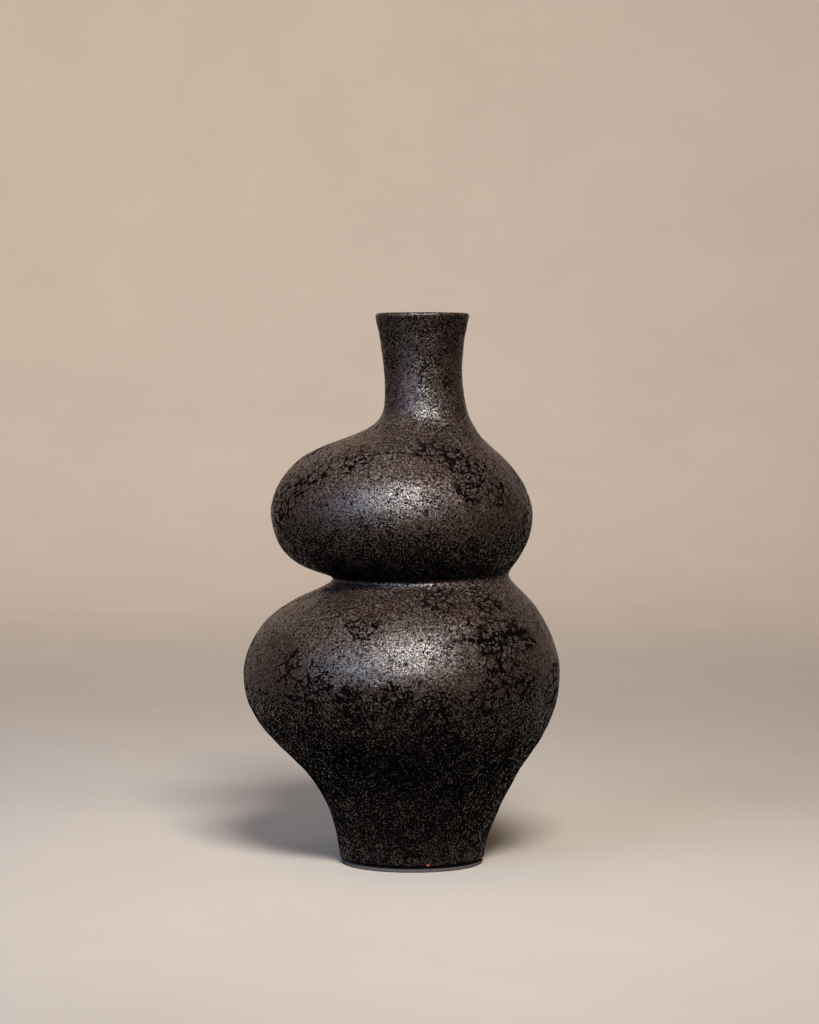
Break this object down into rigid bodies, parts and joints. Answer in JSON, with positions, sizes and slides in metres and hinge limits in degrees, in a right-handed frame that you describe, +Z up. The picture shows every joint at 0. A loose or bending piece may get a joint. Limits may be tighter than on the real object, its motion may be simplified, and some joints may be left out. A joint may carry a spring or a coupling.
{
  "type": "double-bulb vase",
  "caption": "Tall stoneware vase with two leaning bulbs, a pinched waist, a slim flared neck and a dark crawled glaze.",
  "frame": {"origin": "centre of the foot ring on the plane that the vase stands on", "axes": "+Z up along the vase, +X towards the side that the neck and the waist lean to, and the vase is the same on both sides of Y = 0"},
  "size_m": [0.2019, 0.2018, 0.35],
  "materials": {
    "glaze": "dark brown-black crawled glaze, half gloss"
  },
  "bodies": {
    "root": {"vessel": "glaze"}
  },
  "joints": []
}
